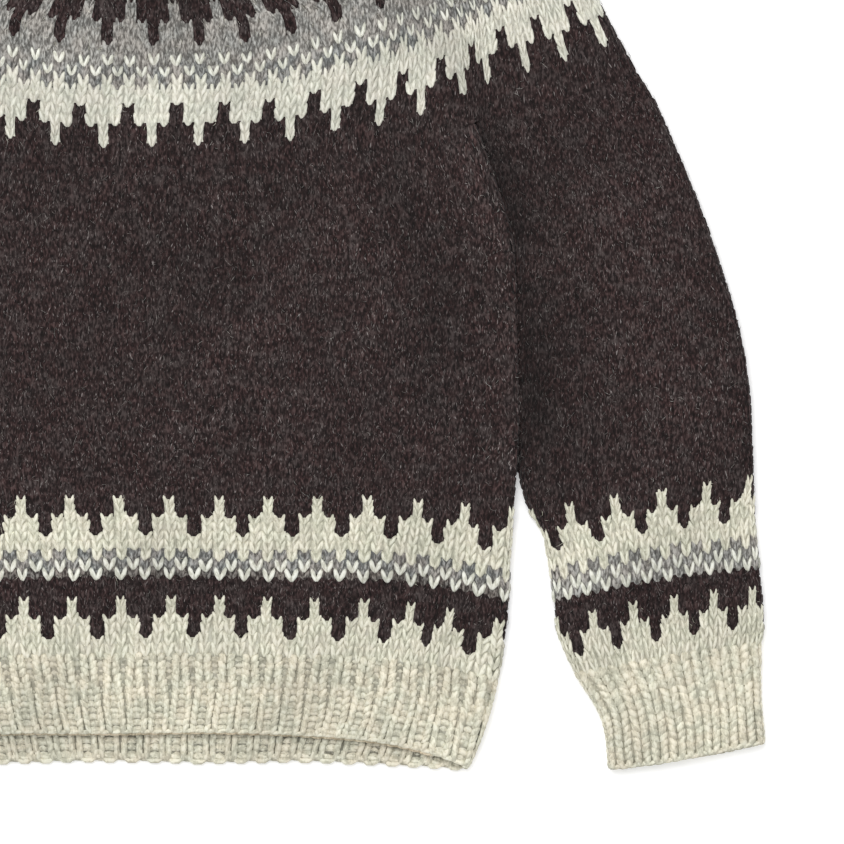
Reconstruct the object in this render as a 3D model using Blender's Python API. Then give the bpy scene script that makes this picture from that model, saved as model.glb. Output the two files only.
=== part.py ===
"""Round-yoke pullover, knitted in the round and laid out flat with its front up.

Frame: +X towards the wearer's left sleeve, +Y towards the neck, +Z up off the surface. The origin is on the
surface, under the middle of the pullover's outline. Every piece is a flattened tube of one knitted wall.
"""
from collections import namedtuple
import math

import bmesh
import bpy

# Driving sizes, in metres.
WALL = 0.0032            # thickness of the bulky-yarn fabric
SEAM_GAP = 0.0003        # space kept between two pieces that meet
LENGTH = 0.608           # from the hem's corners to the top of the neckband
TURN_STEPS = 4           # facets round the fold at each side of a tube
MOST_SLANT = 1.5         # the most that a slanting fold widens its wall along the round, in walls

# A round of the body, yoke, hem or neckband. "front" and "back" are how far up the pullover the round lies on
# the centre line of each half, "side_x" and "side_y" place its fold at the side, "bend" is the power of the
# curve between them, and "loft" is how high the two walls lie off the surface.
Round = namedtuple("Round", "front back side_x side_y bend loft")

# A round of a sleeve or cuff. It runs straight from its inner fold, next to the body, to its outer fold, and
# "bow" is how far its middle lies above that line.
SleeveRound = namedtuple("SleeveRound", "inner_x inner_y outer_x outer_y bow loft")

HEM_RIB = [
    Round(0.0210, 0.0050, 0.1940, 0.0000, 4.0, 0.0084),
    Round(0.0450, 0.0320, 0.2035, 0.0270, 4.0, 0.0088),
    Round(0.0684, 0.0600, 0.2090, 0.0535, 4.0, 0.0090),
]
BODY = [
    Round(0.0684, 0.0600, 0.2090, 0.0535, 4.0, 0.0090),
    Round(0.1020, 0.0960, 0.2150, 0.0870, 4.0, 0.0094),
    Round(0.1330, 0.1290, 0.2166, 0.1210, 4.0, 0.0098),
    Round(0.1640, 0.1620, 0.2192, 0.1570, 4.0, 0.0100),
    Round(0.2050, 0.2050, 0.2215, 0.2040, 3.0, 0.0100),
    Round(0.2400, 0.2400, 0.2210, 0.2430, 2.5, 0.0100),
    Round(0.2800, 0.2800, 0.2200, 0.2870, 2.0, 0.0098),
    Round(0.3120, 0.3120, 0.2170, 0.3230, 2.0, 0.0096),
    Round(0.3360, 0.3360, 0.2080, 0.3500, 2.0, 0.0094),
    Round(0.3520, 0.3520, 0.2000, 0.3730, 2.0, 0.0092),
    Round(0.3610, 0.3610, 0.1950, 0.3861, 2.0, 0.0092),
]
YOKE = [
    Round(0.3610, 0.3610, 0.2940, 0.4180, 2.0, 0.0092),
    Round(0.3740, 0.3740, 0.2838, 0.4380, 2.0, 0.0092),
    Round(0.3980, 0.4000, 0.2690, 0.4640, 2.0, 0.0092),
    Round(0.4220, 0.4270, 0.2520, 0.4890, 2.0, 0.0092),
    Round(0.4430, 0.4510, 0.2350, 0.5085, 2.0, 0.0092),
    Round(0.4650, 0.4770, 0.2140, 0.5270, 2.0, 0.0092),
    Round(0.4900, 0.5060, 0.1840, 0.5465, 2.0, 0.0092),
    Round(0.5130, 0.5320, 0.1530, 0.5620, 2.0, 0.0092),
    Round(0.5320, 0.5550, 0.1220, 0.5745, 2.0, 0.0090),
    Round(0.5450, 0.5720, 0.0980, 0.5830, 2.0, 0.0090),
]
NECKBAND = [
    Round(0.5450, 0.5720, 0.0980, 0.5830, 2.0, 0.0090),
    Round(0.5575, 0.5850, 0.0935, 0.5960, 2.0, 0.0088),
    Round(0.5700, 0.5980, 0.0905, 0.6080, 2.0, 0.0086),
]
SLEEVE = [
    SleeveRound(0.1950, 0.3861, 0.2940, 0.4180, -0.0016, 0.0092),
    SleeveRound(0.2000, 0.3730, 0.3036, 0.4020, -0.0010, 0.0092),
    SleeveRound(0.2080, 0.3500, 0.3144, 0.3780, 0.0000, 0.0094),
    SleeveRound(0.2170, 0.3230, 0.3272, 0.3480, 0.0000, 0.0096),
    SleeveRound(0.2200, 0.2870, 0.3406, 0.3110, 0.0000, 0.0098),
    SleeveRound(0.2210, 0.2430, 0.3542, 0.2660, 0.0005, 0.0098),
    SleeveRound(0.2215, 0.2040, 0.3610, 0.2250, 0.0010, 0.0098),
    SleeveRound(0.2192, 0.1570, 0.3630, 0.1770, 0.0015, 0.0096),
    SleeveRound(0.2350, 0.1300, 0.3635, 0.1480, 0.0015, 0.0094),
    SleeveRound(0.2410, 0.1040, 0.3660, 0.1220, 0.0015, 0.0092),
    SleeveRound(0.2430, 0.0840, 0.3683, 0.1020, 0.0015, 0.0092),
    SleeveRound(0.2510, 0.0640, 0.3682, 0.0830, 0.0010, 0.0090),
    SleeveRound(0.2568, 0.0535, 0.3662, 0.0720, 0.0005, 0.0090),
]
CUFF = [
    SleeveRound(0.2568, 0.0535, 0.3662, 0.0720, 0.0005, 0.0090),
    SleeveRound(0.2700, 0.0310, 0.3665, 0.0470, -0.0005, 0.0088),
    SleeveRound(0.2745, 0.0010, 0.3690, 0.0165, -0.0015, 0.0086),
]

DARK_WOOL = ("dark_wool", (0.041, 0.030, 0.028, 1.0))
CREAM_WOOL = ("cream_wool", (0.610, 0.597, 0.479, 1.0))


def clear_scene():
    for item in list(bpy.data.objects):
        bpy.data.objects.remove(item, do_unlink=True)


def wool(name, colour):
    """The material of one yarn colour."""
    material = bpy.data.materials.get(name) or bpy.data.materials.new(name)
    material.use_nodes = True
    shader = material.node_tree.nodes["Principled BSDF"]
    shader.inputs["Base Color"].default_value = colour
    shader.inputs["Roughness"].default_value = 0.95
    shader.inputs["Metallic"].default_value = 0.0
    return material


def folds(row):
    """The two side folds of a round as (x, y): left and right on the trunk, inner and outer on a sleeve."""
    if isinstance(row, Round):
        return (-row.side_x, row.side_y), (row.side_x, row.side_y)
    return (row.inner_x + SEAM_GAP, row.inner_y), (row.outer_x, row.outer_y)


def rises(row):
    """How far the middles of the front and the back lie above the line between the folds, and its power."""
    if isinstance(row, Round):
        return row.front - row.side_y, row.back - row.side_y, row.bend
    return row.bow, row.bow, 2.0


def flat_section(width, loft, across):
    """The outline of a tube lying flat: (share of the width, share of the loft), from its left fold."""
    turn = loft / 2 / width
    front = [(turn + (1 - 2 * turn) * i / across, 1.0) for i in range(across + 1)]
    angles = [math.pi * (0.5 - i / TURN_STEPS) for i in range(1, TURN_STEPS)]
    right = [(1 - turn + turn * math.cos(a), 0.5 + 0.5 * math.sin(a)) for a in angles]
    back = [(1 - share, 0.0) for share, _ in front]
    left = [(1 - share, 1 - height) for share, height in right]
    return front + right + back + left


def wall_share(rows, index, fold):
    """The wall's share of a round's width at one fold, more where the fold crosses the round at a slant."""
    left, right = folds(rows[index])
    across = (right[0] - left[0], right[1] - left[1])
    width = math.hypot(*across)
    if index in (0, len(rows) - 1):
        return WALL / width
    before, after = folds(rows[index - 1])[fold], folds(rows[index + 1])[fold]
    along = (after[0] - before[0], after[1] - before[1])
    crossing = abs(across[0] * along[1] - across[1] * along[0])
    slant = math.hypot(*along) * width / crossing
    return WALL * min(slant, MOST_SLANT) / width


def skin(rows, across, inner):
    """The rings of a tube's outer skin, or of its inner skin, which is the outer one drawn in by the wall."""
    rings = []
    for index, row in enumerate(rows):
        left, right = folds(row)
        front_rise, back_rise, bend = rises(row)
        start = wall_share(rows, index, 0) if inner else 0.0
        stop = 1 - wall_share(rows, index, 1) if inner else 1.0
        floor = WALL if inner else 0.0
        ring = []
        for share, height in flat_section(math.dist(left, right), row.loft, across):
            t = start + (stop - start) * share
            rise = (height * front_rise + (1 - height) * back_rise) * (1 - abs(2 * t - 1) ** bend)
            x = left[0] + (right[0] - left[0]) * t
            y = left[1] + (right[1] - left[1]) * t + rise - LENGTH / 2
            ring.append((x, y, floor + height * (row.loft - 2 * floor)))
        rings.append(ring)
    return rings


def drawn_back(rings, end, target):
    """The rings with the one at "end" moved towards the one at "target" by the seam gap."""
    rings = list(rings)
    moved = []
    for point, goal in zip(rings[end], rings[target]):
        step = SEAM_GAP / math.dist(point, goal)
        moved.append(tuple(p + (g - p) * step for p, g in zip(point, goal)))
    rings[end] = moved
    return rings


def knitted_tube(name, rows, across, yarn, collection, meets=None, climbs=True, mirrored=False):
    """A tube through the rows, open at both ends. "meets" is the end, first or last, that keeps the gap."""
    skins = [skin(rows, across, False), skin(rows, across, True)]
    if meets == "first":
        skins = [drawn_back(rings, 0, 1) for rings in skins]
    if meets == "last":
        skins = [drawn_back(rings, -1, -2) for rings in skins]
    side = -1 if mirrored else 1
    bm = bmesh.new()
    outer, inner = [
        [[bm.verts.new((side * x, y, z)) for x, y, z in ring] for ring in rings] for rings in skins
    ]
    faces = []
    count = len(outer[0])
    for i in range(count):
        j = (i + 1) % count
        for low, high in zip(outer, outer[1:]):
            faces.append((low[i], low[j], high[j], high[i]))
        for low, high in zip(inner, inner[1:]):
            faces.append((low[j], low[i], high[i], high[j]))
        # The two rims split along the same diagonal, so that the rims of two pieces lie flat on each other.
        faces.append((outer[0][i], inner[0][i], inner[0][j]))
        faces.append((outer[0][i], inner[0][j], outer[0][j]))
        faces.append((outer[-1][i], inner[-1][j], inner[-1][i]))
        faces.append((outer[-1][i], outer[-1][j], inner[-1][j]))
    for face in faces:
        bm.faces.new(face if climbs != mirrored else face[::-1])
    mesh = bpy.data.meshes.new(name)
    bm.to_mesh(mesh)
    bm.free()
    mesh.shade_smooth()
    mesh.set_sharp_from_angle(angle=math.radians(50))
    mesh.materials.append(wool(*yarn))
    collection.objects.link(bpy.data.objects.new(name, mesh))


def build_trunk(collection):
    """The hem, body, yoke and neckband, which share the centre line."""
    knitted_tube("hem_rib", HEM_RIB, 14, CREAM_WOOL, collection, meets="last")
    knitted_tube("body", BODY, 14, DARK_WOOL, collection, meets="last")
    knitted_tube("yoke", YOKE, 20, DARK_WOOL, collection)
    knitted_tube("neckband", NECKBAND, 20, CREAM_WOOL, collection, meets="first")


def build_sleeves(collection):
    """A sleeve and its cuff on each side, the right one the mirror image of the left."""
    for side, mirrored in (("left", False), ("right", True)):
        way = {"meets": "first", "climbs": False, "mirrored": mirrored}
        knitted_tube(f"sleeve_{side}", SLEEVE, 8, DARK_WOOL, collection, **way)
        knitted_tube(f"cuff_{side}", CUFF, 8, CREAM_WOOL, collection, **way)


clear_scene()
pullover = bpy.data.collections.new("pullover")
bpy.context.scene.collection.children.link(pullover)
build_trunk(pullover)
build_sleeves(pullover)
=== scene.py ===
import math
from collections import namedtuple

import bpy
import numpy as np
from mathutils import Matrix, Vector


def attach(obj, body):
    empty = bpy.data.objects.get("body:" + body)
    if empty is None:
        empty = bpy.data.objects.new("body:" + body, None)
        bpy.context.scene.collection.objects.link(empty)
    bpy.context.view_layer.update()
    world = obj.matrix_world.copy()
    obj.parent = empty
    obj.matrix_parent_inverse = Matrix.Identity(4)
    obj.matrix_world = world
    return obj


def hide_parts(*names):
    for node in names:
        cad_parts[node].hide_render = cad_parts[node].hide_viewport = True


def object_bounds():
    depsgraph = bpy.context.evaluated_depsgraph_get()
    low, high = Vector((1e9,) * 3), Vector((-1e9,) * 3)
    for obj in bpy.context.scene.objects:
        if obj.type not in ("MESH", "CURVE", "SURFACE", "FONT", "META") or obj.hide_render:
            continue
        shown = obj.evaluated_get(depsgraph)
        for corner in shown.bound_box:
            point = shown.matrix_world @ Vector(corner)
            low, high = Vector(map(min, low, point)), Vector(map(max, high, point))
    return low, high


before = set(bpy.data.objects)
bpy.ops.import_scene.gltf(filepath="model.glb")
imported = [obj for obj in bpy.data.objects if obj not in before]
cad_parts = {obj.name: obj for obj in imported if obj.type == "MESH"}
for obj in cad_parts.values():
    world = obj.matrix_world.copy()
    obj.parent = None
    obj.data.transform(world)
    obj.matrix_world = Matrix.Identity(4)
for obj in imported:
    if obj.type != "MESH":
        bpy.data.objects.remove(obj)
cad_low, cad_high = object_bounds()
hem_y = cad_low.y
dice = np.random.default_rng(41)


# ---- The yarns ----
# Soft, bulky, unspun wool: dark brown heather, creams, heather greys, one of them dulled by brown fuzz and
# by painted shade, and a cream in painted shade so deep that it looks tan. Each is a carded blend, so its
# colour runs in streaks along the strand, with paler and darker hairs.

class Value:
    """A shader socket that takes part in sums, so that an expression adds its Math nodes."""

    def __init__(self, tree, socket):
        self.tree, self.socket = tree, socket

    def node(self, kind, inputs, output=0, stops=(), **settings):
        made = self.tree.nodes.new(kind)
        for name, setting in settings.items():
            setattr(made, name, setting)
        for n, (position, colour) in enumerate(stops):
            elements = made.color_ramp.elements
            element = elements[n] if n < len(elements) else elements.new(position)
            element.position = position
            element.color = (*colour, 1.0)
        for name, given in inputs.items():
            if isinstance(given, Value):
                self.tree.links.new(given.socket, made.inputs[name])
            else:
                made.inputs[name].default_value = given
        return Value(self.tree, made.outputs[output])

    def maths(self, operation, *others):
        return self.node("ShaderNodeMath", dict(enumerate(others)), operation=operation)

    def __add__(self, other):
        return self.maths("ADD", self, other)

    def __mul__(self, other):
        return self.maths("MULTIPLY", self, other)

    def __sub__(self, other):
        return self.maths("SUBTRACT", self, other)

    def __rsub__(self, other):
        return self.maths("SUBTRACT", other, self)

    __radd__, __rmul__ = __add__, __mul__

    def ramp(self, low, high):
        """0 up to the low value, 1 from the high value on."""
        return self.node("ShaderNodeMapRange", {0: self, 1: low, 2: high})

    def blend(self, first, second):
        """The colour that is "first" where this is 0 and "second" where it is 1."""
        return self.node("ShaderNodeMix", {0: self, 6: first, 7: second}, 2, data_type="RGBA")

    def times(self, other):
        """This colour or vector times another."""
        return self.node("ShaderNodeVectorMath", {0: self, 1: other}, operation="MULTIPLY")

    def scaled(self, amount):
        """This colour or vector times a number."""
        return self.node("ShaderNodeVectorMath", {0: self, 3: amount}, operation="SCALE")


def new_material(name, settings):
    """A material and its shader, whose sockets are set."""
    material = bpy.data.materials.new(name)
    material.use_nodes = True
    shader = material.node_tree.nodes["Principled BSDF"]
    for socket, setting in settings.items():
        shader.inputs[socket].default_value = setting
    return material, shader


def yarn(name, deep, main, pale, contrast, heather, hairs, hair_share, warm, cool):
    """A yarn's material: streaks from deep to pale along the strand, with flecks of heather all over the
    cloth, blotches that are warmer or cooler, and hairs of their own colour."""
    material, shader = new_material(name, {
        "Roughness": 0.92, "Specular IOR Level": 0.2, "Sheen Weight": 0.06, "Sheen Roughness": 0.6})
    start = Value(material.node_tree, None)
    strand = start.node("ShaderNodeAttribute", {}, 1, attribute_name="strand")
    tone = start.node("ShaderNodeAttribute", {}, 2, attribute_name="tone")
    place = start.node("ShaderNodeTexCoord", {}, 3)

    def noise(vector, scale, detail):
        return start.node("ShaderNodeTexNoise", {"Vector": vector, "Scale": scale, "Detail": detail})

    # "strand" runs across and along each length of yarn in millimetres, so a stretched noise gives streaks.
    streak = noise(strand.times((0.75, 0.2, 1.0)), 1.0, 3.0)
    hair = noise(strand.times((2.2, 0.3, 1.0)), 1.0, 1.0)
    fleck = noise(place.times((1.0, 0.42, 0.7)), 800.0, 2.0)
    cloud = noise(place, 95.0, 4.0)
    cloud_share = 0.15
    blend = streak * (1 - cloud_share - heather) + fleck * heather + cloud * cloud_share
    reach = 0.10 / contrast
    colour = start.node(
        "ShaderNodeValToRGB", {0: blend}, stops=[(0.5 - reach, deep), (0.5, main), (0.5 + reach, pale)])
    colour = colour.times(cloud.ramp(0.38, 0.62).blend((*cool, 1.0), (*warm, 1.0)))
    hair_edge, hair_cover = 0.70 - hair_share, 0.75
    colour = (hair.ramp(hair_edge, hair_edge + 0.06) * hair_cover).blend(colour, (*hairs, 1.0))
    material.node_tree.links.new(colour.scaled(tone).socket, shader.inputs["Base Color"])
    height = streak * 0.5 + fleck * 0.5
    relief = start.node("ShaderNodeBump", {"Strength": 0.6, "Distance": 0.0006, "Height": height})
    material.node_tree.links.new(relief.socket, shader.inputs["Normal"])
    return material


# Each yarn by its letter in the charts: its deep, main and pale colours, how strongly they contrast, its
# share of heather flecks, its hairs' colour and share, and the tints of its warmer and cooler blotches.
YARNS = {
    "d": yarn("dark_heather", (0.0063, 0.0039, 0.0037), (0.0211, 0.0129, 0.0122), (0.063, 0.047, 0.044), 1.05,
              0.5, (0.27, 0.24, 0.23), 0.035, (0.955, 0.985, 1.01), (1.11, 0.90, 0.92)),
    "c": yarn("cream", (0.52, 0.505, 0.41), (0.69, 0.672, 0.552), (0.80, 0.785, 0.67), 1.4, 0.35,
              (0.84, 0.83, 0.73), 0.0, (1.01, 0.99, 0.985), (0.985, 1.0, 0.985)),
    "r": yarn("rib_cream", (0.51, 0.488, 0.388), (0.68, 0.654, 0.524), (0.79, 0.765, 0.638), 1.4, 0.35,
              (0.83, 0.81, 0.70), 0.0, (1.02, 0.985, 0.965), (0.98, 1.0, 1.0)),
    "w": yarn("pale_cream", (0.53, 0.525, 0.455), (0.69, 0.685, 0.605), (0.80, 0.80, 0.735), 1.8, 0.35,
              (0.90, 0.89, 0.82), 0.0, (1.005, 0.995, 0.98), (0.985, 1.0, 0.99)),
    "y": yarn("yoke_cream", (0.52, 0.51, 0.445), (0.67, 0.66, 0.567), (0.765, 0.755, 0.675), 1.4, 0.35,
              (0.86, 0.86, 0.79), 0.0, (1.01, 0.99, 0.985), (0.985, 1.0, 0.99)),
    "l": yarn("light_grey", (0.138, 0.130, 0.120), (0.262, 0.252, 0.235), (0.45, 0.438, 0.41), 1.5, 0.5,
              (0.66, 0.65, 0.60), 0.02, (1.02, 0.99, 0.97), (0.97, 1.0, 1.01)),
    "g": yarn("mid_grey", (0.11, 0.107, 0.101), (0.218, 0.214, 0.205), (0.39, 0.383, 0.364), 1.5, 0.5,
              (0.56, 0.55, 0.51), 0.02, (1.04, 0.985, 0.95), (0.95, 1.0, 1.02)),
    "b": yarn("dusky_grey", (0.034, 0.028, 0.026), (0.103, 0.092, 0.085), (0.24, 0.224, 0.208), 1.4, 0.5,
              (0.40, 0.38, 0.35), 0.02, (1.04, 0.985, 0.95), (0.98, 1.0, 1.0)),
    "t": yarn("shaded_tan", (0.38, 0.32, 0.225), (0.55, 0.475, 0.345), (0.70, 0.62, 0.475), 1.4, 0.4,
              (0.60, 0.52, 0.40), 0.0, (1.02, 0.99, 0.97), (0.98, 1.0, 0.98)),
}
YARN_ORDER = list(YARNS)
DARK = YARN_ORDER.index("d")


# ---- The hem's rib ----
# The hem is one-by-one rib in cream, knitted in the round: raised columns of knit stitches between sunk
# columns of purl ones. Laid out, its front rides up a little above its back, whose inside then shows.

# A round of the trunk: its row of stitches counted up the piece, how far up the pullover it lies on the
# centre line of the front and of the back, its fold at the side, the power of the curve between them, and
# how high the two walls lie. The last two are alike in most rounds of the yoke.
Round = namedtuple("Round", "row front back side_x side_y bend loft", defaults=(2.0, 0.0092))

# A fold rolled over or under what lies beside it: how far, the share of the height about which it turns,
# the rows between which it sets in, and the shares of the way round on which it acts.
Roll = namedtuple("Roll", "amount middle first last sides")

# A soft trough or ridge in the laid-out front: a line between two places, its reach and its height.
Crease = namedtuple("Crease", "x1 y1 x2 y2 reach height")

CREASES = [
    Crease(0.186, 0.392, 0.2145, 0.300, 0.010, 0.0022),
    Crease(0.215, 0.290, 0.2165, 0.165, 0.010, 0.0016),
    Crease(0.138, 0.378, 0.168, 0.292, 0.015, -0.0018),
    Crease(0.168, 0.292, 0.176, 0.205, 0.016, -0.0016),
    Crease(0.112, 0.352, 0.142, 0.262, 0.022, 0.0012),
    Crease(0.2035, 0.388, 0.2290, 0.310, 0.0085, -0.0024),
    Crease(0.2300, 0.300, 0.2310, 0.185, 0.0090, -0.0022),
    Crease(0.246, 0.285, 0.243, 0.190, 0.018, -0.0014),
    Crease(0.290, 0.350, 0.318, 0.215, 0.030, 0.0020),
    Crease(0.197, 0.396, 0.176, 0.440, 0.009, -0.0016),
    Crease(0.052, 0.250, 0.086, 0.190, 0.030, 0.0012),
    Crease(0.020, 0.330, 0.048, 0.285, 0.030, -0.0009),
    Crease(-0.188, 0.389, -0.2140, 0.305, 0.011, 0.0021),
    Crease(-0.215, 0.292, -0.2170, 0.172, 0.010, 0.0015),
    Crease(-0.146, 0.372, -0.163, 0.300, 0.014, -0.0016),
    Crease(-0.163, 0.300, -0.181, 0.232, 0.017, -0.0018),
    Crease(-0.108, 0.345, -0.128, 0.276, 0.020, 0.0010),
    Crease(-0.2055, 0.387, -0.2310, 0.315, 0.008, -0.0023),
    Crease(-0.2320, 0.305, -0.2335, 0.190, 0.009, -0.0020),
    Crease(-0.285, 0.360, -0.320, 0.235, 0.028, 0.0020),
    Crease(-0.197, 0.396, -0.172, 0.436, 0.010, -0.0016),
    Crease(-0.090, 0.210, -0.058, 0.160, 0.028, 0.0010),
]


CREASE_CORE = 0.70       # the share of its length over which a crease keeps its full height


def laid_height(x, y):
    """How far the laid-out front stands over its plain form, by its creases and a slight unevenness."""
    height = 0.0005 * np.sin(41 * x + 1.1) * np.sin(37 * y + 0.4) + 0.0003 * np.sin(83 * x - 61 * y)
    for crease in CREASES:
        run = np.array([crease.x2 - crease.x1, crease.y2 - crease.y1])
        length = np.hypot(*run)
        share = ((x - crease.x1) * run[0] + (y - crease.y1) * run[1]) / length ** 2
        off = ((x - crease.x1) * run[1] - (y - crease.y1) * run[0]) / length
        past = np.maximum(np.abs(share - 0.5) - CREASE_CORE / 2, 0) * length
        height = height + crease.height * np.exp(-(off ** 2 + past ** 2) / crease.reach ** 2)
    return height


# Where the laid-out cloth was pushed up or down the surface, by so much: the place and its reach.
Pull = namedtuple("Pull", "x y reach_x reach_y amount")

PULLS = [
    Pull(0.075, 0.400, 0.045, 0.050, -0.0014),
    Pull(0.154, 0.395, 0.028, 0.045, -0.0036),
    Pull(0.213, 0.412, 0.022, 0.045, 0.0066),
    Pull(0.277, 0.436, 0.015, 0.025, -0.0026),
]


def pulled(x, y):
    """How far the cloth was pushed up at a place, alike on both sides."""
    moved = 0 * x
    for pull in PULLS:
        off_x, off_y = (np.abs(x) - pull.x) / pull.reach_x, (y - pull.y) / pull.reach_y
        moved = moved + pull.amount * np.exp(-off_x ** 2 - off_y ** 2)
    return moved


def along_rows(table, column, row):
    """A column of a table at any row, on a smooth curve through the table's values."""
    rows = np.array([line.row for line in table], float)
    values = np.array([getattr(line, column) for line in table], float)
    slopes = np.gradient(values, rows)
    i = np.clip(np.searchsorted(rows, row, side="right") - 1, 0, len(rows) - 2)
    gap = rows[i + 1] - rows[i]
    t = np.clip((row - rows[i]) / gap, -0.5, 1.5)
    curve = values[i] * (2 * t ** 3 - 3 * t ** 2 + 1) + values[i + 1] * (3 * t ** 2 - 2 * t ** 3)
    return curve + gap * (slopes[i] * (t ** 3 - 2 * t ** 2 + t) + slopes[i + 1] * (t ** 3 - t ** 2))


class Tube:
    """A flattened tube of knitting. Places on it are a share of the way round, a row and a depth."""

    def __init__(self, table, side=1, drift=None, roll=None):
        self.table, self.side, self.drift, self.roll = table, side, drift, roll
        self.trunk = hasattr(table[0], "front")

    def folds(self, row):
        """The two folds' places, and the rises of front and back between them."""
        def at(column):
            return along_rows(self.table, column, row)
        if self.trunk:
            x, y = at("side_x"), at("side_y")
            return -x, y, x, y, at("front") - y, at("back") - y, at("bend")
        return at("inner_x"), at("inner_y"), at("outer_x"), at("outer_y"), at("bow"), at("bow"), 2.0

    def place(self, share, row, depth):
        """Points at a share round from the middle of the front, a row, and a depth under the face."""
        if self.drift is not None:
            share = self.drift((share + 0.5) % 1.0 - 0.5, row)
        share = (share + 0.5) % 1.0 - 0.5
        x1, y1, x2, y2, front, back, bend = self.folds(row)
        loft = along_rows(self.table, "loft", row)
        width = np.hypot(x2 - x1, y2 - y1)
        flat = width - loft
        run = np.abs(share) * (2 * flat + math.pi * loft)
        turn = np.clip((run - flat / 2) / (loft / 2), 0, math.pi)
        past = np.maximum(run - flat / 2 - math.pi * loft / 2, 0)
        off = np.sign(share) * (np.minimum(run, flat / 2) - past + loft / 2 * np.sin(turn))
        out_x, out_z = np.sign(share) * np.sin(turn), np.cos(turn)
        frontness = 0.5 + 0.5 * out_z
        t = np.clip(off / width + 0.5, 0, 1)
        rise = (frontness * front + (1 - frontness) * back) * (1 - np.abs(2 * t - 1) ** bend)
        lean_x, lean_y = (x2 - x1) / width, (y2 - y1) / width
        over = -out_x * depth
        if self.roll is not None:
            start = np.clip((row - self.roll.first) / (self.roll.last - self.roll.first), 0, 1)
            acts = (share > self.roll.sides[0]) & (share < self.roll.sides[1])
            over = over + out_x * self.roll.amount * (frontness - self.roll.middle) * start * acts
        x = x1 + (x2 - x1) * t + over * lean_x
        y = y1 + (y2 - y1) * t + rise + over * lean_y
        y = y + pulled(x, y)
        z = loft * frontness - out_z * depth
        z = z + laid_height(self.side * x, y) * frontness ** 2
        return np.stack([self.side * x, y + hem_y, z], axis=-1)


PAINTED_LIGHT_OF_HEIGHT = 125     # ridges get painted light, and troughs painted shade

# The body's edge over a sleeve, from the lower colour band to the underarm.
FoldEdge = namedtuple("FoldEdge", "y x")
FOLD_EDGE = [
    FoldEdge(0.160, 0.2188), FoldEdge(0.220, 0.2220), FoldEdge(0.280, 0.2207),
    FoldEdge(0.320, 0.2181), FoldEdge(0.350, 0.2094), FoldEdge(0.385, 0.1970),
]


def fold_painted_light(x, y):
    """Painted shade on a sleeve beside the body's edge, and a painted highlight on that edge itself."""
    out = np.abs(x) - np.interp(y, [edge.y for edge in FOLD_EDGE], [edge.x for edge in FOLD_EDGE])
    shaded = -0.40 * np.exp(-np.abs(out) / 0.010)
    painted_highlight = 0.22 * np.exp(-np.abs(out) / 0.007)
    begun = np.clip((y - 0.158) / 0.02, 0, 1)
    unfinished = np.clip((0.410 - y) / 0.03, 0, 1)
    return 1 + np.where(out > 0, shaded, painted_highlight) * begun * unfinished


def new_object(name, data):
    """An object in the scene that shows a mesh, a lamp or a camera."""
    made = bpy.data.objects.new(name, data)
    bpy.context.scene.collection.objects.link(made)
    return made


def new_mesh(name, points, faces, yarns, tone, strand):
    """A mesh object from arrays: faces and yarns are lists, with one array for each number of corners."""
    mesh = bpy.data.meshes.new(name)
    corners = np.concatenate([group.ravel() for group in faces])
    sizes = np.concatenate([np.full(len(group), group.shape[1]) for group in faces])
    mesh.vertices.add(len(points))
    mesh.vertices.foreach_set("co", points.astype(np.float32).ravel())
    mesh.loops.add(len(corners))
    mesh.loops.foreach_set("vertex_index", corners.astype(np.int32))
    mesh.polygons.add(len(sizes))
    starts = np.concatenate([[0], np.cumsum(sizes)[:-1]])
    mesh.polygons.foreach_set("loop_start", starts.astype(np.int32))
    for material in YARNS.values():
        mesh.materials.append(material)
    mesh.polygons.foreach_set("material_index", np.concatenate(yarns).astype(np.int32))
    x, y = points[:, 0], points[:, 1] - hem_y
    # Painted light on the creases' ridges, painted shade in their troughs and on a sleeve beside the body's
    # edge.
    tone = tone * (1 + PAINTED_LIGHT_OF_HEIGHT * laid_height(x, y)) * fold_painted_light(x, y)
    mesh.attributes.new("tone", "FLOAT", "POINT").data.foreach_set("value", tone.astype(np.float32))
    layer = mesh.attributes.new("strand", "FLOAT_VECTOR", "POINT")
    layer.data.foreach_set("vector", strand.astype(np.float32).ravel())
    mesh.update(calc_edges=True)
    mesh.shade_smooth()
    return new_object(name, mesh)


FACE_DEPTH = 0.0013      # how far the cloth's own skin lies under the crests of its stitches
CLOTH = 0.0008           # thickness of the cloth behind the stitches
PALE_CLOTH_TONE = 0.70   # pale cloth lies in the shade between its stitches
# Painted shade on the cloth between the stitches of the darker yarns.
CLOTH_TONES = {"d": 0.95, "b": 0.80, "g": 0.85, "l": 0.90}
INNER_TONE = 0.70        # and the inside of the tube gets more painted shade
FACET_ENDS = (-0.34, 0.30)   # the rows at which a patterned row's two facets end
FACET_DROP = 0.20        # how far below its own row's middle a facet lies
PALE_STEP_IN = 0.12      # how far a pale facet draws in from a darker one beside it, in stitches
FROM_DARK = "dbtglrcyw"  # the yarns, the darkest first


def sway(column, row):
    """How far a stitch stands off its even place, across in stitches and along in rows."""
    across = 0.10 * np.sin(row * 0.23 + column * 0.11) + 0.07 * np.sin(row * 0.61 - column * 0.37)
    return across, 0.10 * np.sin(column * 0.31 + row * 0.17)


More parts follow.
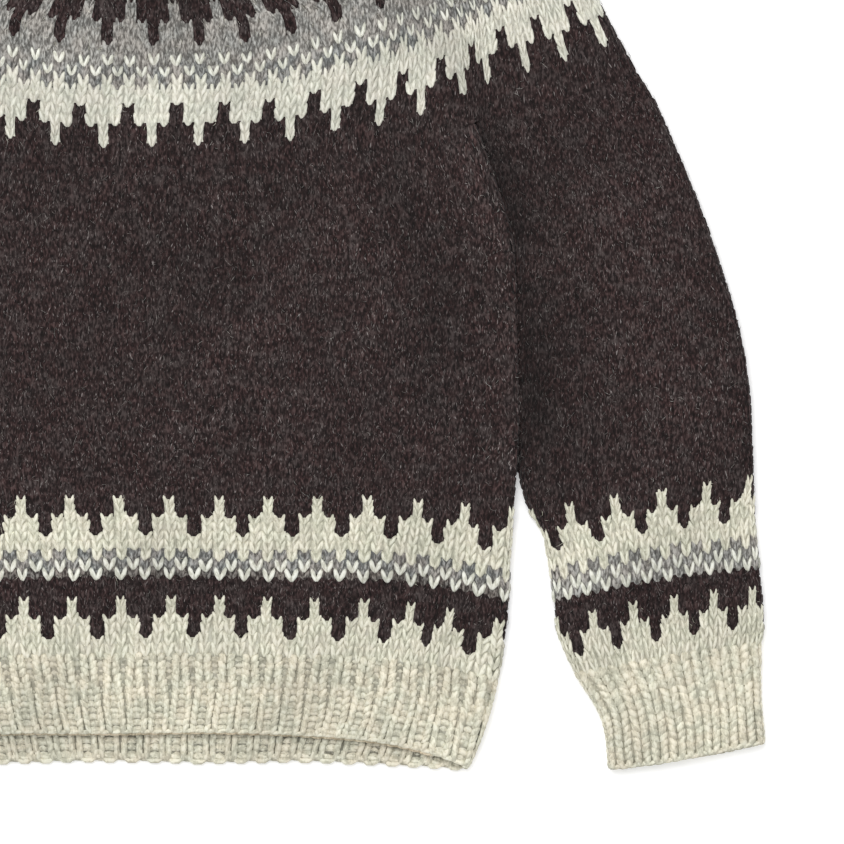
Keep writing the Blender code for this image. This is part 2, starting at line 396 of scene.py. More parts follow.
def knit_cloth(name, tube, rows, stitches, chart, patterned=0, lowest=0.0, pale_tone=PALE_CLOTH_TONE):
    """The cloth that carries the stitches: a closed wall all round, one facet a stitch and two rows. In the
    patterned rows it is half a row, and pale yarn starts higher and ends lower there, as its points do."""
    around = np.arange(stitches)
    levels = [r + end for r in range(patterned) for end in FACET_ENDS]
    levels = [lowest] + levels[1:] + list(np.arange(max(patterned, 2), rows - 1, 2.0)) + [rows]
    share, row = np.meshgrid((around - 0.5) / stitches, levels)
    shown = []
    for low, high in zip(levels[:-1], levels[1:]):
        middle = (low + high) / 2 + FACET_DROP
        r = min(int(middle), rows - 1)
        for c in around:
            places = ((r, c), (max(r - 1, 0), c), (r + 1, c), (r, c - 1), (r, c + 1))
            here, below, above, left, right = [FROM_DARK.index(chart(*one)) for one in places]
            if middle - r < 0.5:
                shown.append(min(here, below))
            elif max(below, above, left, right) < here:
                shown.append(left)
            else:
                shown.append(here)
    shown = np.array([FROM_DARK[n] for n in shown]).reshape(-1, stitches)
    pale = np.isin(shown, ["c", "y", "w"]).astype(float)
    step_in = PALE_STEP_IN * (pale - np.roll(pale, 1, axis=1))
    step_in = (np.concatenate([step_in[:1], step_in]) + np.concatenate([step_in, step_in[-1:]])) / 2
    across, along = sway(stitches * ((share + 0.5) % 1.0 - 0.5), row)
    share, row = share + across / stitches, row + along * (row > row.min()) * (row < row.max())
    outer = tube.place(share + step_in / stitches, row, FACE_DEPTH)
    inner = tube.place(share, row, FACE_DEPTH + CLOTH)
    bands = len(shown)
    i, j = np.meshgrid(around, np.arange(bands))
    a, b = j * stitches + i, j * stitches + (i + 1) % stitches
    quads = np.stack([a, b, b + stitches, a + stitches], axis=-1).reshape(-1, 4)
    after = (around + 1) % stitches
    rim = np.stack([around, around + share.size, after + share.size, after], axis=-1)
    faces = np.concatenate([quads, quads[:, ::-1] + share.size, rim, rim[:, ::-1] + bands * stitches])
    if tube.side < 0:
        faces = faces[:, ::-1]
    yarns = np.array([YARN_ORDER.index(one) for one in shown.ravel()])
    tone = np.array([CLOTH_TONES.get(one, pale_tone) for one in shown.ravel()]).reshape(shown.shape)
    tone = np.concatenate([tone, tone[-1:]]).ravel()
    tone = np.concatenate([tone, INNER_TONE * tone])
    yarns = np.concatenate([yarns, yarns, yarns[:stitches], yarns[-stitches:]])
    points = np.concatenate([outer.reshape(-1, 3), inner.reshape(-1, 3)])
    return new_mesh(name, points, [faces], [yarns], tone, points * 1000)


# A point on a strand of yarn, in a stitch's own units: how far along its column in rows, how far across in
# stitches, and how deep under the fabric's face in metres. Then the strand's half width there, in stitches
# for a strand that runs along the column and in rows for one that runs across, and its half height.
Bit = namedtuple("Bit", "along across depth half_width half_height")

# A length of yarn as a mesh: its points, the triangles at its tips, the quads between, how far along and
# round the strand each point lies, and how much of the shade between two strands falls there.
Length = namedtuple("Length", "points tips bands along around shade")


def length_of_yarn(bits, sides, sideways=False):
    """A closed length of yarn through its bits, pointed at both ends and flat underneath."""
    swing = np.radians(np.linspace(-25, 205, sides))    # a ring's corners, from one side over the top
    points = [(bits[0].across, bits[0].along, bits[0].depth)]
    for bit in bits[1:-1]:
        wide, high = bit.half_width * np.cos(swing), bit.half_height * np.sin(swing)
        across, along = (0 * wide, wide) if sideways else (wide, 0 * wide)
        points += list(zip(bit.across + across, bit.along + along, bit.depth - high))
    points.append((bits[-1].across, bits[-1].along, bits[-1].depth))
    rings = len(bits) - 2
    tips, bands = [], []
    for k in range(sides):
        n = (k + 1) % sides
        last = 1 + (rings - 1) * sides
        tips += [(0, 1 + n, 1 + k), (len(points) - 1, last + k, last + n)]
        for ring in range(1, last, sides):
            bands.append((ring + k, ring + n, ring + n + sides, ring + k + sides))
    tips, bands = np.array(tips), np.array(bands)
    if sideways:
        tips, bands = tips[:, ::-1], bands[:, ::-1]
    run = [bit.across if sideways else bit.along for bit in bits]
    along = np.concatenate([[run[0]], np.repeat(run[1:-1], sides), [run[-1]]])
    around = np.concatenate([[0.5], np.tile(np.arange(sides) / sides, rings), [0.5]])
    shade = np.concatenate([[0.5], np.tile(1 - np.maximum(np.sin(swing), 0), rings), [0.5]])
    return Length(np.array(points), tips, bands, along, around, shade)


def mirrored(length):
    """The same length of yarn on the other side of its stitch."""
    return Length(length.points * (-1, 1, 1), length.tips[:, ::-1], length.bands[:, ::-1], *length[3:])


WALL = 0.0034            # thickness of the knitted wall from crest to crest


def inside_out(length):
    """The same length of yarn on the inner face of the wall."""
    points = length.points * (1, 1, -1) + (0, 0, WALL)
    return Length(points, length.tips[:, ::-1], length.bands[:, ::-1], *length[3:])


STITCH = [(name, "f8") for name in ("column", "row", "wide", "lean", "lift", "tone", "aside")]
STITCH.append(("yarn", "i4"))


def stitches_at(column, row, yarns, unevenness=1.0):
    """A table of stitches, one at each column and row, each with small faults of its own. They are all in one
    yarn, or each has its own."""
    def faults(size):
        return dice.normal(0, size, len(column))

    made = np.zeros(len(column), STITCH)
    across, along = sway(column, row)
    made["column"] = column + across + faults(0.035 * unevenness)
    made["row"] = row + along + faults(0.06 * unevenness)
    made["wide"] = 1 + faults(0.07 * unevenness)
    made["lean"] = faults(0.035 * unevenness)
    made["lift"] = faults(0.00012 * unevenness)
    made["tone"] = 1 + faults(0.035)
    made["yarn"] = [YARN_ORDER.index(one) for one in yarns]
    # The dark yarn's own shade wanders along each row.
    wander = sum(np.sin(a * column + b * row) for a, b in ((0.43, 7.3), (0.19, -4.7), (0.91, 2.9)))
    made["tone"] += np.where(made["yarn"] == DARK, 0.05 * wander, 0)
    return made


STITCH_WIDTH, ROW_HEIGHT = 6.0, 5.6     # in millimetres, for the streaks along a strand


def copied_faces(length, count, side):
    """The faces of so many copies of a length of yarn, turned round on the mirrored side."""
    base = (np.arange(count) * len(length.points))[:, None, None]
    faces = [(length.tips + base).reshape(-1, 3), (length.bands + base).reshape(-1, 4)]
    return faces if side > 0 else [group[:, ::-1] for group in faces]


def worked(tube, around, stitches, length):
    """Copies of a length of yarn, one for each stitch given, on a tube that is so many stitches around."""
    each_one = stitches[:, None]
    across, along, deep = length.points.T
    turn = across * each_one["wide"] + along * each_one["lean"] + each_one["aside"]
    points = tube.place(
        (each_one["column"] + turn) / around, each_one["row"] + along, deep + each_one["lift"]).reshape(-1, 3)
    count, each = len(stitches), len(length.points)
    yarns = [np.repeat(stitches["yarn"], len(group)) for group in (length.tips, length.bands)]
    # The streaks of each length start at a place of their own.
    strand = np.stack([
        np.tile(length.around * STITCH_WIDTH, count),
        np.tile(length.along * ROW_HEIGHT, count) + np.repeat(dice.uniform(0, 900, count), each),
        np.repeat(dice.uniform(0, 90, count), each),
    ], axis=-1)
    shading = np.where(each_one["yarn"] == DARK, 1.10 - 0.38 * length.shade, 1.035 - 0.19 * length.shade)
    faces = copied_faces(length, count, tube.side)
    return points, faces, yarns, (each_one["tone"] * shading).ravel(), strand


def joined(name, lengths):
    """One mesh object of several sets of lengths of yarn."""
    points, faces, yarns, tone, strand = zip(*lengths)
    starts = np.concatenate([[0], np.cumsum([len(part) for part in points])[:-1]])
    groups = [np.concatenate([part[n] + start for part, start in zip(faces, starts)]) for n in (0, 1)]
    colours = [np.concatenate([part[n] for part in yarns]) for n in (0, 1)]
    points, tone, strand = [np.concatenate(part) for part in (points, tone, strand)]
    return new_mesh(name, points, groups, colours, tone, strand)


# Parts of a tube: the columns over one share of the way round from the front's middle, and up to another.
ALL_ROUND, FRONT, FRONT_MIDDLE, BACK = (-1, 1), (-1, 0.25), (-1, 0.22), (0.25, 1)


def grid_of_stitches(around, rows, part, first=0):
    """The columns and rows of all stitches on a part of a tube."""
    row, column = np.meshgrid(np.arange(first, rows), np.arange(around), indexing="ij")
    row, column = row.ravel(), column.ravel()
    share = (column / around + 0.5) % 1.0 - 0.5
    wanted = (np.abs(share) > part[0]) & (np.abs(share) <= part[1])
    return (share * around)[wanted], row[wanted].astype(float), column[wanted]


RIB_LEG = [
    Bit(-0.08, -0.03, 0.0027, 0, 0),
    Bit(0.10, -0.03, 0.0014, 0.30, 0.0012),
    Bit(0.75, 0.00, 0.0010, 0.34, 0.0013),
    Bit(1.35, 0.04, 0.0014, 0.30, 0.0012),
    Bit(1.85, 0.05, 0.0030, 0, 0),
]
RIB_BAR = [
    Bit(0.60, -0.95, 0.0032, 0, 0),
    Bit(0.66, -0.56, 0.0020, 0.50, 0.0007),
    Bit(0.76, 0.00, 0.0018, 0.60, 0.0008),
    Bit(0.66, 0.56, 0.0020, 0.50, 0.0007),
    Bit(0.60, 0.95, 0.0032, 0, 0),
]

# How a rib opens: at a row, how far the two legs of a knit stitch stand from its middle, in stitches, and how
# fat they are.
Opening = namedtuple("Opening", "row apart fat")

RIB_LEG_REACH = 0.34     # a rib leg's half width, in stitches
LEAST_KNIT_GAP = 0.06    # the narrowest half gap in which a bar shows, inside a knit column
LEAST_PURL_GAP = 0.07    # and between two knit columns


def rib_stitches(tube, around, rows, part, openings, knit=1, inside=False, slant=0.0):
    """A one-by-one rib: two raised legs a knit stitch, and bars where a gap between legs is wide enough."""
    turned = inside_out if inside else tuple

    def opened(measure, row):
        return np.interp(row, [one.row for one in openings], [getattr(one, measure) for one in openings])

    column, row, whole = grid_of_stitches(around, rows, part)
    legs = stitches_at(column, row, "r", 0.5)[whole % 2 == knit]
    apart = opened("apart", legs["row"])
    legs["wide"] *= opened("fat", legs["row"])
    leg = length_of_yarn(RIB_LEG, 5)
    lengths = []
    for way, one in ((1, leg), (-1, mirrored(leg))):
        side_legs = legs.copy()
        side_legs["aside"] = way * (apart - 0.75 * slant)
        side_legs["lean"] += way * slant
        # Legs on the inner face carry painted shade, and those on the outer face are a touch brighter.
        side_legs["tone"] *= (0.94 if inside else 1.01) + dice.normal(0, 0.02, len(legs))
        lengths.append(worked(tube, around, side_legs, Length(*turned(one))))
    bars = stitches_at(column, row, "r", 1.1)
    apart, fat = opened("apart", row), opened("fat", row)
    is_knit = whole % 2 == knit
    half_gap = np.where(is_knit, apart, 1.0 - apart)
    shown = half_gap - RIB_LEG_REACH * fat > np.where(is_knit, LEAST_KNIT_GAP, LEAST_PURL_GAP)
    bars["wide"] = half_gap * 1.2
    # Bars sunk between the legs carry painted shade, the most between two knit columns.
    bars["tone"] *= np.where(is_knit, 0.92, 0.80)
    bars["lift"] += np.where(is_knit, -0.0003, 0.0) * (-1 if inside else 1)
    bar = Length(*turned(length_of_yarn(RIB_BAR, 5, sideways=True)))
    return lengths + [worked(tube, around, bars[shown], bar)]


EDGE_LENGTH = [
    Bit(0.10, -0.95, 0.0030, 0, 0),
    Bit(0.16, -0.45, 0.0018, 0.34, 0.0012),
    Bit(0.26, 0.05, 0.0014, 0.42, 0.0014),
    Bit(0.36, 0.50, 0.0019, 0.34, 0.0012),
    Bit(0.46, 0.95, 0.0030, 0, 0),
]


def edge_stitches(tube, around, part, row=0.0, inside=False, colour="r", lower=0.0):
    """The cast-on or cast-off strand that closes the wall's open end, on its outer or its inner face."""
    column, _, _ = grid_of_stitches(around, 1, part)
    stitches = stitches_at(column, np.full(len(column), row), colour, 0.5)
    stitches["lift"] += lower
    length = length_of_yarn(EDGE_LENGTH, 5, sideways=True)
    return worked(tube, around, stitches, inside_out(length) if inside else length)


# The inside of the cast-on edge hangs in a scallop under each raised column.
SCALLOP = [
    Bit(0.80, -1.03, 0.0026, 0, 0),
    Bit(0.36, -0.80, 0.0016, 0.34, 0.0011),
    Bit(-0.08, -0.34, 0.0013, 0.40, 0.0012),
    Bit(-0.08, 0.34, 0.0013, 0.40, 0.0012),
    Bit(0.36, 0.80, 0.0016, 0.34, 0.0011),
    Bit(0.80, 1.03, 0.0026, 0, 0),
]


def scallops(tube, around, part, knit):
    """The scalloped strand along the inner face of the wall's open end."""
    column, row, whole = grid_of_stitches(around, 1, part)
    stitches = stitches_at(column, row, "r", 0.6)[whole % 2 == knit]
    return worked(tube, around, stitches, inside_out(length_of_yarn(SCALLOP, 5, sideways=True)))


def rib_only(row, column):
    return "r"


def hand_over(node, cloth, stitches):
    """Hides the solid that a stretch of knitting stands for, and hangs the cloth and stitches that take its
    place on the root."""
    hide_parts(node)
    for piece in (cloth, *stitches):
        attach(piece, "root")


def side_drift(share, amount):
    """Columns drawn in towards the middle, most of all a little way in from the sides."""
    return share - amount * np.sign(share) * np.exp(-((np.abs(share) - 0.228) / 0.033) ** 2)


HEM_ROWS = 12
BODY_STITCHES = 120
DRAWN_IN = 0.0076        # how far columns near the sides are drawn in, as a share of the way round
ASIDE = 0.0031           # and how far all of them stand to one side


def hem_drift(share, row):
    """The hem's columns stand a little to one side, and lean where its front was pulled across."""
    across = np.exp(-((share + 0.075) / 0.075) ** 2)
    return side_drift(share, DRAWN_IN * row / HEM_ROWS) - ASIDE + 0.0042 * across * (1 - row / HEM_ROWS)


hem = Tube([
    Round(0, 0.0228, 0.006, 0.1915, 0.0012, 4.0, 0.0084),
    Round(6, 0.045, 0.0322, 0.2025, 0.0272, 4.0, 0.0088),
    Round(12, 0.0684, 0.06, 0.209, 0.0535, 4.0, 0.009),
], drift=hem_drift)
HEM_OUTSIDE = [
    Opening(0, 0.66, 0.96), Opening(3.5, 0.65, 0.98), Opening(5.5, 0.57, 1.04),
    Opening(8, 0.43, 1.10), Opening(9.5, 0.37, 1.10), Opening(12, 0.33, 1.02),
]
HEM_INSIDE = [Opening(0, 0.69, 0.96), Opening(3, 0.66, 0.94), Opening(6, 0.64, 0.92)]
hem_cloth = knit_cloth("hem_rib_cloth", hem, HEM_ROWS, BODY_STITCHES, rib_only, lowest=0.5, pale_tone=0.5)
# Below the front's edge lies an extra strand in tan: painted shade under the edge.
hem_stitches = joined("hem_rib_stitches", [
    *rib_stitches(hem, BODY_STITCHES, HEM_ROWS, ALL_ROUND, HEM_OUTSIDE, slant=0.07),
    *rib_stitches(hem, BODY_STITCHES, 6, BACK, HEM_INSIDE, knit=0, inside=True),
    edge_stitches(hem, BODY_STITCHES, ALL_ROUND),
    edge_stitches(hem, BODY_STITCHES, FRONT_MIDDLE, -0.27, colour="t", lower=0.0012),
    edge_stitches(hem, BODY_STITCHES, BACK, 0.30, inside=True),
    scallops(hem, BODY_STITCHES, BACK, knit=0),
])
hand_over("hem_rib", hem_cloth, [hem_stitches])


# ---- The body ----
# A plain tube of stocking stitch from the rib to the underarms, 120 stitches round. The lower colour band
# starts on the rib: cream teeth, two dark rows, three speckled rows, and cream teeth again, then dark brown.

# A knit stitch's right leg, as it shows in a pale yarn and, fuller and more felted, in the dark one.
PALE_LEG = [
    Bit(-0.30, 0.00, 0.0026, 0, 0),
    Bit(0.04, 0.09, 0.0018, 0.135, 0.0011),
    Bit(0.45, 0.20, 0.0012, 0.235, 0.0012),
    Bit(1.04, 0.32, 0.0014, 0.185, 0.0011),
    Bit(1.60, 0.42, 0.0021, 0, 0),
]
# The same at a tooth's point, where dark stitches crowd it.
POINT_LEG = [
    Bit(-0.32, 0.00, 0.0026, 0, 0),
    Bit(0.02, 0.08, 0.0018, 0.120, 0.0011),
    Bit(0.42, 0.21, 0.0012, 0.215, 0.0012),
    Bit(0.88, 0.33, 0.0013, 0.150, 0.0011),
    Bit(1.30, 0.41, 0.0021, 0, 0),
]
# At a shoulder or a valley it lies against the pale column that goes on beside it.
TUCKED_LEG = [
    Bit(-0.30, 0.00, 0.0026, 0, 0),
    Bit(0.04, 0.10, 0.0018, 0.135, 0.0011),
    Bit(0.42, 0.24, 0.0012, 0.240, 0.0012),
    Bit(0.86, 0.42, 0.0014, 0.190, 0.0011),
    Bit(1.22, 0.56, 0.0021, 0, 0),
]
# And in the white stitches of the lower speckled rows, and of the yoke's.
WHITE_LEG = [
    Bit(-0.40, 0.00, 0.0024, 0, 0),
    Bit(-0.02, 0.09, 0.0016, 0.140, 0.0011),
    Bit(0.42, 0.22, 0.0010, 0.245, 0.0012),
    Bit(0.98, 0.35, 0.0011, 0.200, 0.0011),
    Bit(1.52, 0.44, 0.0020, 0, 0),
]
YOKE_WHITE_LEG = [
    Bit(-0.20, 0.00, 0.0027, 0, 0),
    Bit(0.08, 0.09, 0.0018, 0.140, 0.0011),
    Bit(0.38, 0.20, 0.0013, 0.220, 0.0012),
    Bit(0.80, 0.33, 0.0014, 0.170, 0.0011),
    Bit(1.18, 0.41, 0.0023, 0, 0),
]
DARK_LEG = [
    Bit(-0.20, 0.04, 0.0030, 0, 0),
    Bit(0.24, 0.16, 0.0018, 0.20, 0.0009),
    Bit(0.94, 0.30, 0.0016, 0.22, 0.0009),
    Bit(1.54, 0.42, 0.0028, 0, 0),
]
# The wool that felts into the fold between a sleeve and the body.
FOLD_STRAND = [
    Bit(-0.70, -0.06, 0.0030, 0, 0),
    Bit(-0.10, -0.02, 0.0022, 0.36, 0.0020),
    Bit(0.50, 0.02, 0.0020, 0.40, 0.0022),
    Bit(1.10, 0.02, 0.0022, 0.36, 0.0020),
    Bit(1.70, 0.06, 0.0030, 0, 0),
]
# Each row of a chart gives the yarn of four columns: a tooth's point, its shoulder, its valley, its shoulder.
LOWER_BAND = ["cccc", "cccc", "ccdc", "ccdc", "cddd", "cddd", "dddd", "dddd", "wbwb", "gwgw", "cgcg",
              "cccc", "cccc", "ccdc", "ccdc", "cddd", "cddd"]


def charted(band, shift):
    """A chart that gives the yarn of any stitch: a band's rows, and dark wool above them."""
    def chart(row, column):
        return band[row][(column + shift) % 4] if row < len(band) else "d"
    return chart


lower_chart = charted(LOWER_BAND, 2)


def knit_stitches(tube, around, rows, chart, part, first, fine, white_leg):
    """Stocking stitch on part of a tube: two legs for each stitch, in the chart's yarns."""
    column, row, whole = grid_of_stitches(around, rows, part, first)

    def yarn_at(up, across):
        return np.array([chart(r + up, c + across) for r, c in zip(row.astype(int), whole)])

    yarns = yarn_at(0, 0)
    dark, white = yarns == "d", yarns == "w"
    alone = ~dark & (yarn_at(0, -1) == "d") & (yarn_at(0, 1) == "d")
    last = ~dark & (yarn_at(1, 0) == "d")
    stitches = stitches_at(column, row, yarns)
    stitches["lift"] += np.select([yarns == "b", white], [0.0004, -0.0001], 0.0)
    stitches["wide"] *= np.where(alone, 0.88, 1.0)      # squeezed between two dark ones
    lengths = []
    for side in (1, -1):
        tucked = last & (yarn_at(1, side) != "d")
        point = (alone | last) & ~tucked
        plain = ~(dark | white | tucked | point)
        for chosen, bits, sides in (
                (dark, DARK_LEG, 4), (white, white_leg, 5), (tucked, TUCKED_LEG, 5),
                (point, POINT_LEG, 5), (plain, PALE_LEG, 5)):
            leg = length_of_yarn(bits, sides if fine else 3)
            if chosen.any():
                lengths.append(worked(tube, around, stitches[chosen], leg if side > 0 else mirrored(leg)))
    return lengths


def front_and_back(name, tube, steps, chart, white_leg=WHITE_LEG, fold=None):
    """A tube's front stitches and its back ones, one mesh each. Its steps are the rows from one decrease to
    the next, and the stitches round there. The front may have stitches of the wool that felts into a fold."""
    halves = []
    for half_name, half, fine in (("front", FRONT, True), ("back", BACK, False)):
        lengths = []
        for first, last, around in steps:
            lengths += knit_stitches(tube, around, last, chart, half, first, fine, white_leg)
        if fine and fold is not None:
            lengths.append(worked(tube, around, fold, length_of_yarn(FOLD_STRAND, 5)))
        halves.append(joined(f"{name}_{half_name}_stitches", lengths))
    return halves


def body_drift(share, row):
    """The body's columns stand a little to one side, and spread a little towards the chest."""
    spread = 0.0135 * np.clip(row / 15, 0, 1)
    drawn = side_drift(share, np.interp(row, [0, 5, 13, 25], [DRAWN_IN, DRAWN_IN, 0.0020, 0]))
    return drawn - ASIDE + spread * np.sin(4 * math.pi * share) / (4 * math.pi)


BODY_ROWS = 53
body = Tube([
    hem.table[-1]._replace(row=0),
    Round(1.7, 0.0796, 0.072, 0.2112, 0.0645, 4.0, 0.0091),
    Round(5.6, 0.102, 0.096, 0.215, 0.087, 4.0, 0.0094),
    Round(11.3, 0.133, 0.129, 0.2166, 0.121, 4.0, 0.0098),
    Round(16.9, 0.164, 0.162, 0.2192, 0.157, 4.0, 0.01),
    Round(24.7, 0.205, 0.205, 0.2215, 0.204, 3.0, 0.01),
    Round(31.1, 0.24, 0.24, 0.221, 0.243, 2.5, 0.01),
    Round(38.3, 0.28, 0.28, 0.22, 0.287, 2.0, 0.0098),
    Round(44.1, 0.312, 0.312, 0.217, 0.323, 2.0, 0.0096),
    Round(48.5, 0.336, 0.336, 0.208, 0.35, 2.0, 0.0094),
    Round(51.4, 0.352, 0.352, 0.2, 0.373),
    Round(53, 0.361, 0.361, 0.195, 0.3861),
], drift=body_drift, roll=Roll(0.0050, 0.35, 16, 24, (-0.5, 0.5)))
body_cloth = knit_cloth("body_cloth", body, BODY_ROWS, BODY_STITCHES, lower_chart, patterned=18)
body_halves = front_and_back("body", body, [(0, BODY_ROWS, BODY_STITCHES)], lower_chart)
hand_over("body", body_cloth, body_halves)


# ---- The sleeves ----
# Tubes of stocking stitch, 44 stitches round, with the body's colour band above the cuff. Each lies beside
# the body and leans out a little towards the wrist. The right one is the mirror image of the left.

SleeveRound = namedtuple("SleeveRound", "row inner_x inner_y outer_x outer_y bow loft")

SLEEVE_STITCHES = 44
SLEEVE_ROWS = 60
SLEEVE_TABLE = [
    SleeveRound(0, 0.2551, 0.057, 0.3667, 0.076, 0.0005, 0.009),
    SleeveRound(1.1, 0.2513, 0.064, 0.3682, 0.083, 0.001, 0.009),
    SleeveRound(4.35, 0.2433, 0.084, 0.3683, 0.102, 0.0015, 0.0092),
    SleeveRound(8.2, 0.2413, 0.1027, 0.366, 0.1233, 0.0015, 0.0092),
    SleeveRound(12.4, 0.2372, 0.129, 0.3635, 0.1493, 0.0015, 0.0094),
    SleeveRound(14.9, 0.2345, 0.143, 0.3633, 0.1644, 0.0015, 0.0095),
    SleeveRound(17.0, 0.2272, 0.1552, 0.363, 0.177, 0.0015, 0.0096),
    SleeveRound(20.0, 0.2223, 0.1735, 0.3624, 0.1948, 0.0013, 0.0096),
    SleeveRound(25.1, 0.2218, 0.204, 0.361, 0.225, 0.001, 0.0098),
    SleeveRound(32.2, 0.2213, 0.243, 0.3542, 0.266, 0.0005, 0.0098),
    SleeveRound(40.3, 0.2203, 0.287, 0.3406, 0.311, 0.0, 0.0098),
    SleeveRound(46.9, 0.2173, 0.323, 0.3272, 0.348, 0.0, 0.0096),
    SleeveRound(52.4, 0.2083, 0.35, 0.3144, 0.378, 0.0, 0.0094),
    SleeveRound(56.9, 0.2003, 0.373, 0.3036, 0.402, -0.001, 0.0092),
    SleeveRound(60, 0.1953, 0.3861, 0.294, 0.418, -0.0016, 0.0092),
]
# On the sleeves the speckled rows are worked in light grey.
sleeve_chart = charted(LOWER_BAND[:8] + ["wlwl", "lwlw", "clcl"] + LOWER_BAND[11:], 2)


def sleeve_drift(share, row):
    """The sleeve's columns turn a little round it towards the cuff, and some pass under its inner edge."""
    spread = np.interp(row, [5, 8, 12, 17], [0, 0.07, 0.05, 0])
    share = share + spread * np.sin(4 * math.pi * share) / (4 * math.pi)
    passed_under = np.interp(row, [8, 12.4, 14.9, 17, 20, 25], [0, 0.37, 1.25, 1.2, 0.4, 0])
    share = share + passed_under / (2 * SLEEVE_STITCHES) * (np.sin(2 * math.pi * share) - 1)
    turned = np.interp(row, [0, 6, 8, 14, 17], [-1.4, -0.9, -1.25, -0.85, -0.05])
    return share + 0.3 / SLEEVE_STITCHES + turned / SLEEVE_STITCHES


FOLD_ROWS = np.arange(21.0, 62.0)       # where wool felts into the fold beside the body
FOLD_COLUMN = -11.25

for side_name, side in (("left", 1), ("right", -1)):
    sleeve = Tube(SLEEVE_TABLE, side, sleeve_drift, Roll(-0.0075, 0.62, 14, 20, (-0.5, 0.0)))
    sleeve_cloth = knit_cloth(
        f"sleeve_{side_name}_cloth", sleeve, SLEEVE_ROWS, SLEEVE_STITCHES, sleeve_chart, patterned=18)
    fold = stitches_at(np.full(len(FOLD_ROWS), FOLD_COLUMN), FOLD_ROWS, "d")
    # The fold's strands carry painted shade.
    fold["tone"] *= 0.85
    sleeve_halves = front_and_back(
        f"sleeve_{side_name}", sleeve, [(0, SLEEVE_ROWS, SLEEVE_STITCHES)], sleeve_chart, fold=fold)
    hand_over(f"sleeve_{side_name}", sleeve_cloth, sleeve_halves)


# ---- The cuffs ----
# One-by-one rib in the hem's cream, 38 stitches round. Each is cast on at the wrist and knitted up to its
# sleeve, which is six stitches wider.

CUFF_STITCHES = 38
CUFF_ROWS = 14
CUFF_TABLE = [
    SleeveRound(0, 0.2748, 0.001, 0.369, 0.0165, -0.0015, 0.0086),
    SleeveRound(7.6, 0.2703, 0.031, 0.3665, 0.047, -0.0005, 0.0088),
    SLEEVE_TABLE[0]._replace(row=CUFF_ROWS),
]
CUFF_OPENINGS = [
    Opening(0, 0.50, 1.36), Opening(3, 0.49, 1.42), Opening(7, 0.46, 1.46), Opening(14, 0.43, 1.36),
]
for side_name, side in (("left", 1), ("right", -1)):
    cuff = Tube(CUFF_TABLE, side)
    cuff_cloth = knit_cloth(
        f"cuff_{side_name}_cloth", cuff, CUFF_ROWS, CUFF_STITCHES, rib_only, lowest=0.3, pale_tone=0.60)
    cuff_stitches = joined(f"cuff_{side_name}_stitches", [
        *rib_stitches(cuff, CUFF_STITCHES, CUFF_ROWS, ALL_ROUND, CUFF_OPENINGS, slant=0.10),
        edge_stitches(cuff, CUFF_STITCHES, ALL_ROUND),
        edge_stitches(cuff, CUFF_STITCHES, ALL_ROUND, inside=True),
    ])
    hand_over(f"cuff_{side_name}", cuff_cloth, [cuff_stitches])


# ---- The yoke ----
# Body and sleeves join in one round of 184 stitches, and the yoke narrows in three steps towards the neck.
# Its band has cream teeth that point down, three speckled rows, and light grey teeth that point up.

YOKE_STITCHES = 184
YOKE_ROWS = 30
YOKE_BAND = ["dddd", "dddd", "yddd", "yddd", "yydy", "yydy", "yyyy", "yyyy", "ygyg", "gwgw", "wlwl",
             "llll", "dlll", "dlll", "ddld", "ddld"]
# Rows between the decreases, and the stitches round there.
YOKE_STEPS = [(0, 18, YOKE_STITCHES), (18, 23, 136), (23, 27, 104), (27, YOKE_ROWS, 84)]
YOKE_TABLE = [
    Round(0, 0.361, 0.361, 0.294, 0.418),
    Round(1.85, 0.3727, 0.374, 0.2838, 0.438),
    Round(5.8, 0.3964, 0.4, 0.269, 0.464),
    Round(9.8, 0.4202, 0.427, 0.252, 0.489),
    Round(12.8, 0.4414, 0.451, 0.235, 0.5085),
    Round(16.5, 0.464, 0.477, 0.214, 0.527),
    Round(21, 0.49, 0.506, 0.184, 0.5465),
    Round(24.76, 0.513, 0.532, 0.153, 0.562),
    Round(27.87, 0.532, 0.555, 0.122, 0.5745, 2.0, 0.009),
    Round(30, 0.545, 0.572, 0.098, 0.583, 2.0, 0.009),
]

# How the stitches of a round spread over the front: the share of the way round at which some of them lie.
# Low down they crowd into the fold over each underarm, and higher up towards the shoulders.
Spread = namedtuple("Spread", "row middle_8 middle_20 underarm_28 underarm_32 fold_46")
SPREADS = [
    Spread(0, 0.0478, 0.1157, 0.1601, 0.1711, 0.25),
    Spread(2, 0.0492, 0.1193, 0.1654, 0.1767, 0.25),
    Spread(13, 0.0589, 0.1444, 0.1810, 0.1965, 0.25),
    Spread(26, 0.0435, 0.1087, 0.1522, 0.1739, 0.25),
]


def yoke_drift(share, row):
    """Where a stitch of the yoke lies, from its even share of the way round. All stand a little aside."""
    from_side = np.minimum(np.abs(share), 0.5 - np.abs(share))
    rows = [spread.row for spread in SPREADS]
    known = [np.interp(row, rows, [spread[n] for spread in SPREADS]) for n in range(1, 6)]
    even = np.array([0, 8, 20, 28, 32, 46]) / YOKE_STITCHES
    moved = 0 * from_side
    before = 0.0
    for n, now in enumerate(known):
        part = np.clip((from_side - even[n]) / (even[n + 1] - even[n]), 0, 1)
        moved = moved + part * (now - before)
        before = now
    moved = np.where(np.abs(share) > 0.25, 0.5 - moved, moved)
    return np.sign(share) * moved + 0.0005 + 0.0016 * np.clip((row - 5) / 3, 0, 1)


yoke_chart = charted(YOKE_BAND, 0)
yoke = Tube(YOKE_TABLE, drift=yoke_drift)
yoke_cloth = knit_cloth(
    "yoke_cloth", yoke, YOKE_ROWS, YOKE_STITCHES, yoke_chart, patterned=17, pale_tone=0.76)
yoke_halves = front_and_back("yoke", yoke, YOKE_STEPS, yoke_chart, YOKE_WHITE_LEG)
hand_over("yoke", yoke_cloth, yoke_halves)


# ---- The neckband ----
# A short one-by-one rib in cream, 84 stitches round, like the hem and cuffs. Its back stands higher than its
# front, so its inside shows.

